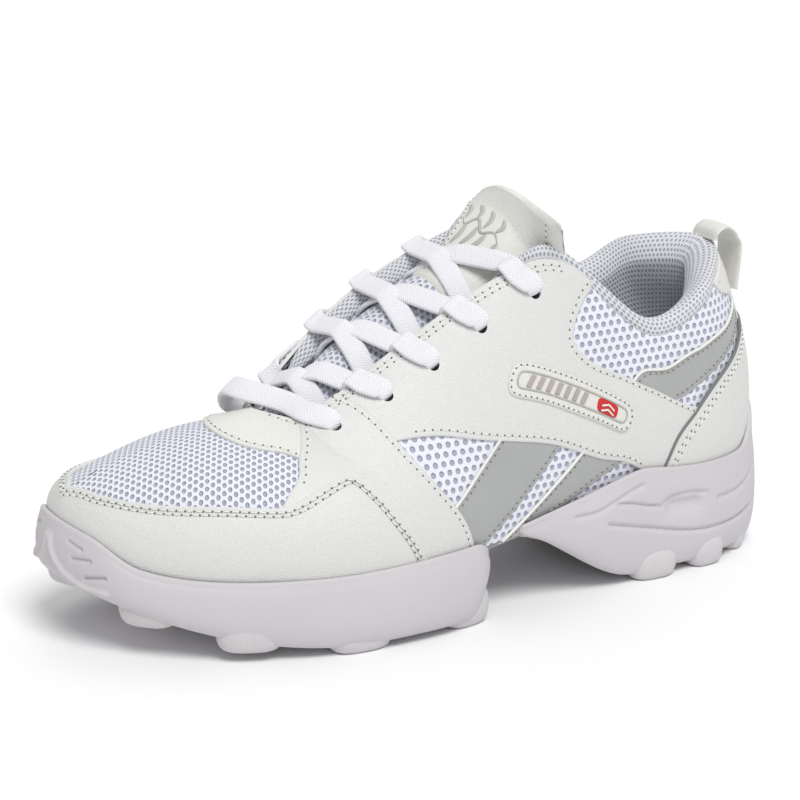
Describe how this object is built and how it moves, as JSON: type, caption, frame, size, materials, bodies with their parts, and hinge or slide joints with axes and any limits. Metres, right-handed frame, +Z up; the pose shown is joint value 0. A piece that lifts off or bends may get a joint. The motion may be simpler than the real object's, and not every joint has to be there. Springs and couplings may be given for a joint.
{
  "type": "cheer shoe",
  "caption": "Low lace-up cheerleading shoe for the left foot: split rubber sole, leather overlays on mesh, padded collar and tongue, heel pull loop, flexible arch",
  "frame": {"origin": "on the ground under the middle of the shoe's bounding box", "axes": "+Z up, toe toward -X, heel toward +X, outer side of the left foot toward -Y"},
  "size_m": [0.2764, 0.1058, 0.1385],
  "materials": {
    "sole_rubber": "matte",
    "white_leather": "satin",
    "white_mesh": "open mesh",
    "lining_fabric": "honeycomb knit",
    "foam": "matte",
    "board": "matte",
    "grey_leather": "satin",
    "lace_cotton": "braided",
    "aglet_plastic": "gloss",
    "badge_fabric": "woven"
  },
  "bodies": {
    "forefoot": {"aglet_inner": "aglet_plastic", "aglet_outer": "aglet_plastic", "arch_cover": "grey_leather", "forefoot_lug_front": "sole_rubber", "forefoot_lug_inner_1": "sole_rubber", "forefoot_lug_inner_2": "sole_rubber", "forefoot_lug_inner_3": "sole_rubber", "forefoot_lug_inner_4": "sole_rubber", "forefoot_lug_outer_1": "sole_rubber", "forefoot_lug_outer_2": "sole_rubber", "forefoot_lug_outer_3": "sole_rubber", "forefoot_lug_outer_4": "sole_rubber", "forefoot_lug_toe": "sole_rubber", "forefoot_midsole": "sole_rubber", "front_strap_inner": "white_leather", "front_strap_outer": "white_leather", "mudguard": "white_leather", "quarter_lining_inner": "lining_fabric", "quarter_lining_outer": "lining_fabric", "quarter_mesh_inner": "white_mesh", "quarter_mesh_outer": "white_mesh", "quarter_overlay_inner": "white_leather", "quarter_overlay_outer": "white_leather", "shoelace": "lace_cotton", "side_badge": "badge_fabric", "sockliner": "lining_fabric", "spin_pad": "sole_rubber", "stripe_front_inner": "grey_leather", "stripe_front_outer": "grey_leather", "stripe_middle_inner": "grey_leather", "stripe_middle_outer": "grey_leather", "strobel_board": "board", "throat_piece": "white_leather", "toe_puff": "board", "tongue_base": "white_mesh", "vamp_lining": "lining_fabric", "vamp_mesh": "white_mesh"},
    "heel": {"back_tab": "white_leather", "collar_foam": "foam", "heel_counter_panel": "white_leather", "heel_lug_centre": "sole_rubber", "heel_lug_inner_1": "sole_rubber", "heel_lug_inner_2": "sole_rubber", "heel_lug_inner_3": "sole_rubber", "heel_lug_outer_1": "sole_rubber", "heel_lug_outer_2": "sole_rubber", "heel_lug_outer_3": "sole_rubber", "heel_midsole": "sole_rubber", "heel_stiffener": "board", "pull_loop": "white_leather", "stripe_rear_inner": "grey_leather", "stripe_rear_outer": "grey_leather", "topline_roll": "lining_fabric"},
    "tongue_tip": {"tongue_tip": "white_mesh"}
  },
  "joints": [
    {"name": "arch_flex", "type": "hinge", "parent": "forefoot", "child": "heel", "pos_m": [0.0057, 0, 0.032], "axis": [0, -1, 0], "range_deg": [-8, 12], "stiffness_Nm_per_rad": 1.5, "deforming": ["quarter_overlay_outer", "quarter_overlay_inner", "quarter_mesh_outer", "quarter_mesh_inner", "quarter_lining_outer", "quarter_lining_inner", "collar_foam", "topline_roll", "side_badge", "stripe_front_outer", "stripe_front_inner", "stripe_middle_outer", "stripe_middle_inner", "strobel_board", "sockliner", "arch_cover"]},
    {"name": "tongue_flex", "type": "hinge", "parent": "forefoot", "child": "tongue_tip", "pos_m": [0.0297, 0, 0.122], "axis": [0, -1, 0], "range_deg": [-8, 25], "stiffness_Nm_per_rad": 0.05}
  ]
}
